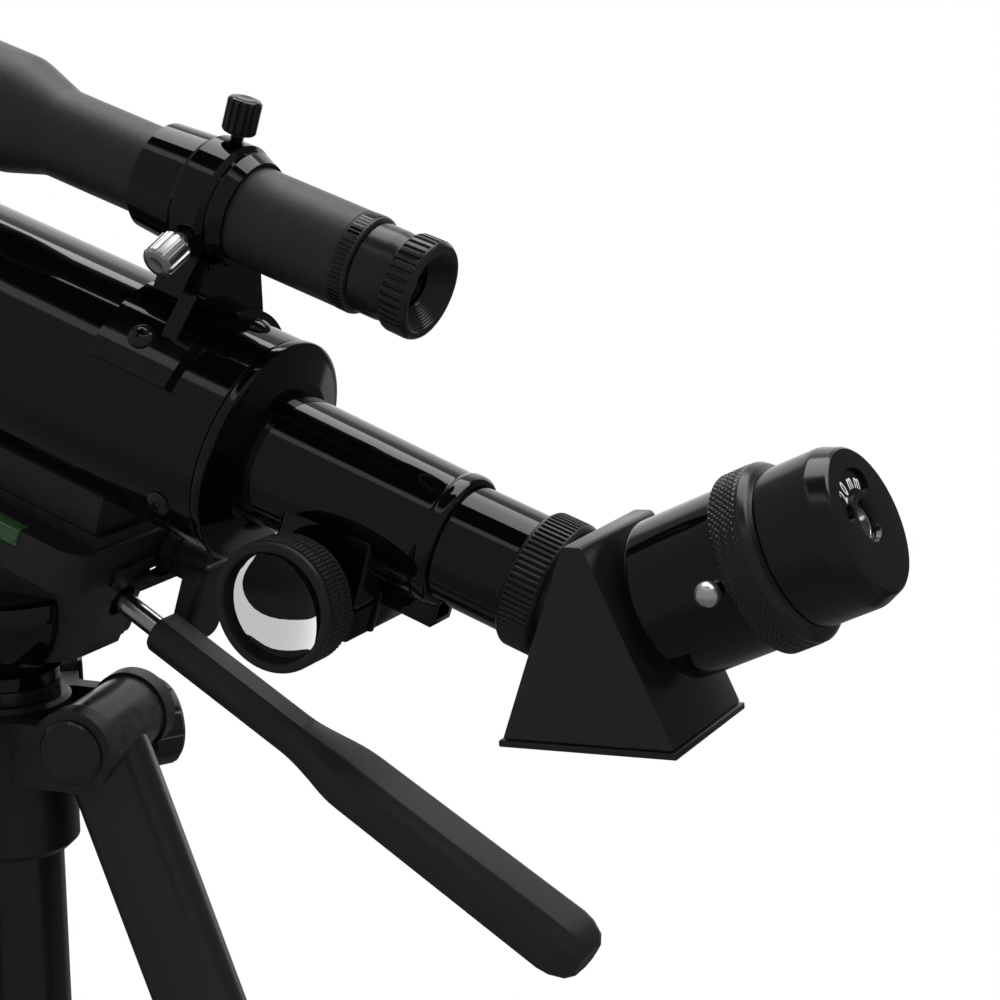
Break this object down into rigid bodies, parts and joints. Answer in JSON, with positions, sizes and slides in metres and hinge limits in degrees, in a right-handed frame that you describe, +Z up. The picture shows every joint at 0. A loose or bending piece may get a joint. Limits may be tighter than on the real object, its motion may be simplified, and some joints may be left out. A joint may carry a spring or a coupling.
{
  "type": "telescope on tripod",
  "caption": "Small black refracting telescope with finder, angled eyepiece and focus knobs on a pan-and-tilt head and folding tripod.",
  "frame": {"origin": "floor point under the pan axis", "axes": "+Z up, +X towards the eyepiece end in the telescope's vertical plane, +Y to the far side (left of someone looking through it)"},
  "size_m": [0.4073, 0.3054, 0.5701],
  "materials": {
    "gloss_black": "gloss black moulding",
    "painted_tube": "gloss black paint on aluminium",
    "matte_black": "matte black moulding",
    "black_aluminium": "satin black anodised aluminium",
    "leg_aluminium": "black anodised extrusion",
    "bright_chrome": "polished chrome plate",
    "steel": "bright steel",
    "black_steel": "black steel screws",
    "rubber": "moulded rubber",
    "optical_glass": "coated optical glass",
    "green_vial": "green spirit vial"
  },
  "bodies": {
    "tripod_crown": {"shoulder": "gloss_black", "leg_hinge_pins": "gloss_black"},
    "column": {"center_column": "black_aluminium"},
    "column_lock": {"column_lock_knob": "gloss_black"},
    "pan_base": {"pan_body": "gloss_black", "tilt_axle": "steel"},
    "pan_lock": {"pan_lock_knob": "gloss_black"},
    "tilt_head": {"tilt_body": "gloss_black"},
    "pan_handle": {"pan_handle_rod": "steel", "pan_handle_grip": "matte_black"},
    "side_tilt_lock": {"side_tilt_lever": "gloss_black"},
    "optical_tube": {"platform": "gloss_black", "bubble_level": "green_vial", "tube_foot": "gloss_black", "main_tube": "painted_tube", "dew_shield": "painted_tube", "objective_cell": "gloss_black", "objective_doublet": "optical_glass", "objective_retaining_ring": "matte_black", "rear_cell": "gloss_black", "tube_screws": "black_steel", "focuser_body": "gloss_black", "pinion_cover": "gloss_black", "finder_bracket": "gloss_black", "finder_tube": "matte_black", "finder_objective": "optical_glass"},
    "camera_screw": {"camera_screw": "black_steel"},
    "finder_focus": {"finder_eyepiece": "gloss_black", "finder_eye_lens": "optical_glass"},
    "finder_screw_top": {"finder_screw_1": "black_steel"},
    "finder_screw_near": {"finder_screw_2": "steel"},
    "finder_screw_far": {"finder_screw_3": "black_steel"},
    "focus_tube": {"drawtube": "gloss_black", "focus_rack": "matte_black", "drawtube_collar": "gloss_black"},
    "focus_pinion": {"pinion_shaft": "steel", "focus_knob_near": "gloss_black", "focus_knob_far": "gloss_black"},
    "diagonal": {"nosepiece": "bright_chrome", "diagonal_housing": "matte_black", "diagonal_prism": "optical_glass", "diagonal_base_cover": "matte_black", "eyepiece_holder": "matte_black", "holder_collar": "black_aluminium"},
    "holder_screw": {"holder_thumbscrew": "bright_chrome"},
    "eyepiece": {"eyepiece_barrel": "bright_chrome", "eyepiece_body": "matte_black", "eyepiece_lenses": "optical_glass"},
    "leg_1": {"leg_upper_1": "leg_aluminium"},
    "leg_extension_1": {"leg_lower_1": "leg_aluminium", "leg_foot_1": "rubber"},
    "leg_lock_1": {"flip_lever_1": "gloss_black"},
    "leg_2": {"leg_upper_2": "leg_aluminium"},
    "leg_extension_2": {"leg_lower_2": "leg_aluminium", "leg_foot_2": "rubber"},
    "leg_lock_2": {"flip_lever_2": "gloss_black"},
    "leg_3": {"leg_upper_3": "leg_aluminium"},
    "leg_extension_3": {"leg_lower_3": "leg_aluminium", "leg_foot_3": "rubber"},
    "leg_lock_3": {"flip_lever_3": "gloss_black"}
  },
  "joints": [
    {"name": "column_slide", "type": "slide", "parent": "tripod_crown", "child": "column", "axis": [0, 0, 1], "range_m": [0, 0.14]},
    {"name": "column_lock_turn", "type": "hinge", "parent": "tripod_crown", "child": "column_lock", "pos_m": [0.0169, 0.03179, 0.3755], "axis": [0.4695, 0.8829, 0], "range_deg": [0, 540]},
    {"name": "pan_turn", "type": "hinge", "parent": "column", "child": "pan_base", "pos_m": [0, 0, 0.4], "axis": [0, 0, 1], "continuous": true},
    {"name": "pan_lock_turn", "type": "hinge", "parent": "pan_base", "child": "pan_lock", "pos_m": [0.00561, 0.02641, 0.408], "axis": [0.2079, 0.9781, 0], "range_deg": [0, 540]},
    {"name": "tilt_turn", "type": "hinge", "parent": "pan_base", "child": "tilt_head", "pos_m": [0, 0, 0.415], "axis": [0, 1, 0], "range_deg": [-45, 15]},
    {"name": "handle_twist", "type": "hinge", "parent": "tilt_head", "child": "pan_handle", "pos_m": [0.0385, 0, 0.4231], "axis": [0.8829, 0, -0.4695], "range_deg": [0, 360]},
    {"name": "side_tilt_turn", "type": "hinge", "parent": "tilt_head", "child": "optical_tube", "pos_m": [0.01836, 0.017, 0.44074], "axis": [-0.9563, 0, 0.2924], "range_deg": [0, 90]},
    {"name": "side_tilt_lock_turn", "type": "hinge", "parent": "tilt_head", "child": "side_tilt_lock", "pos_m": [0.04705, 0.017, 0.43197], "axis": [-0.9563, 0, 0.2924], "range_deg": [-45, 0]},
    {"name": "camera_screw_turn", "type": "hinge", "parent": "optical_tube", "child": "camera_screw", "pos_m": [-0.02733, 0, 0.44864], "axis": [-0.2924, 0, -0.9563], "range_deg": [0, 720]},
    {"name": "finder_focus_turn", "type": "hinge", "parent": "optical_tube", "child": "finder_focus", "pos_m": [0.12348, 0, 0.51097], "axis": [0.9563, 0, -0.2924], "range_deg": [-360, 360]},
    {"name": "finder_screw_top_turn", "type": "hinge", "parent": "optical_tube", "child": "finder_screw_top", "pos_m": [0.07806, 0, 0.54368], "axis": [0.2924, 0, 0.9563], "range_deg": [0, 720]},
    {"name": "finder_screw_near_turn", "type": "hinge", "parent": "optical_tube", "child": "finder_screw_near", "pos_m": [0.07017, -0.01559, 0.51786], "axis": [-0.1462, -0.866, -0.4782], "range_deg": [0, 720]},
    {"name": "finder_screw_far_turn", "type": "hinge", "parent": "optical_tube", "child": "finder_screw_far", "pos_m": [0.07017, 0.01559, 0.51786], "axis": [-0.1462, 0.866, -0.4782], "range_deg": [0, 720]},
    {"name": "focus_slide", "type": "slide", "parent": "optical_tube", "child": "focus_tube", "axis": [0.9563, 0, -0.2924], "range_m": [-0.016, 0.045]},
    {"name": "focus_pinion_turn", "type": "hinge", "parent": "optical_tube", "child": "focus_pinion", "pos_m": [0.10568, 0, 0.43904], "axis": [0, 1, 0], "range_deg": [-145, 405]},
    {"name": "diagonal_turn", "type": "hinge", "parent": "focus_tube", "child": "diagonal", "pos_m": [0.16038, 0, 0.44354], "axis": [0.9563, 0, -0.2924], "continuous": true},
    {"name": "holder_screw_turn", "type": "hinge", "parent": "diagonal", "child": "holder_screw", "pos_m": [0.20868, -0.019, 0.45376], "axis": [0, -1, 0], "range_deg": [0, 720]},
    {"name": "eyepiece_slide", "type": "slide", "parent": "diagonal", "child": "eyepiece", "axis": [0.8829, 0, 0.4695], "range_m": [0, 0.03]},
    {"name": "leg_fold_1", "type": "hinge", "parent": "tripod_crown", "child": "leg_1", "pos_m": [0.02757, 0.00486, 0.385], "axis": [-0.1736, 0.9848, 0], "range_deg": [0, 18]},
    {"name": "leg_extend_1", "type": "slide", "parent": "leg_1", "child": "leg_extension_1", "axis": [0.3368, 0.0594, -0.9397], "range_m": [0, 0.22]},
    {"name": "leg_lock_flip_1", "type": "hinge", "parent": "leg_1", "child": "leg_lock_1", "pos_m": [0.16362, 0.02885, 0.04903], "axis": [-0.1736, 0.9848, 0], "range_deg": [0, 100]},
    {"name": "leg_fold_2", "type": "hinge", "parent": "tripod_crown", "child": "leg_2", "pos_m": [-0.018, 0.02145, 0.385], "axis": [-0.766, -0.6428, 0], "range_deg": [0, 18]},
    {"name": "leg_extend_2", "type": "slide", "parent": "leg_2", "child": "leg_extension_2", "axis": [-0.2198, 0.262, -0.9397], "range_m": [0, 0.22]},
    {"name": "leg_lock_flip_2", "type": "hinge", "parent": "leg_2", "child": "leg_lock_2", "pos_m": [-0.10679, 0.12727, 0.04903], "axis": [-0.766, -0.6428, 0], "range_deg": [0, 100]},
    {"name": "leg_fold_3", "type": "hinge", "parent": "tripod_crown", "child": "leg_3", "pos_m": [-0.00958, -0.02631, 0.385], "axis": [0.9397, -0.342, 0], "range_deg": [0, 18]},
    {"name": "leg_extend_3", "type": "slide", "parent": "leg_3", "child": "leg_extension_3", "axis": [-0.117, -0.3214, -0.9397], "range_m": [0, 0.22]},
    {"name": "leg_lock_flip_3", "type": "hinge", "parent": "leg_3", "child": "leg_lock_3", "pos_m": [-0.05682, -0.15612, 0.04903], "axis": [0.9397, -0.342, 0], "range_deg": [0, 100]}
  ],
  "couplings": [
    {"joint": "focus_pinion_turn", "follows": "focus_slide", "rad_per_m": 156.25}
  ]
}
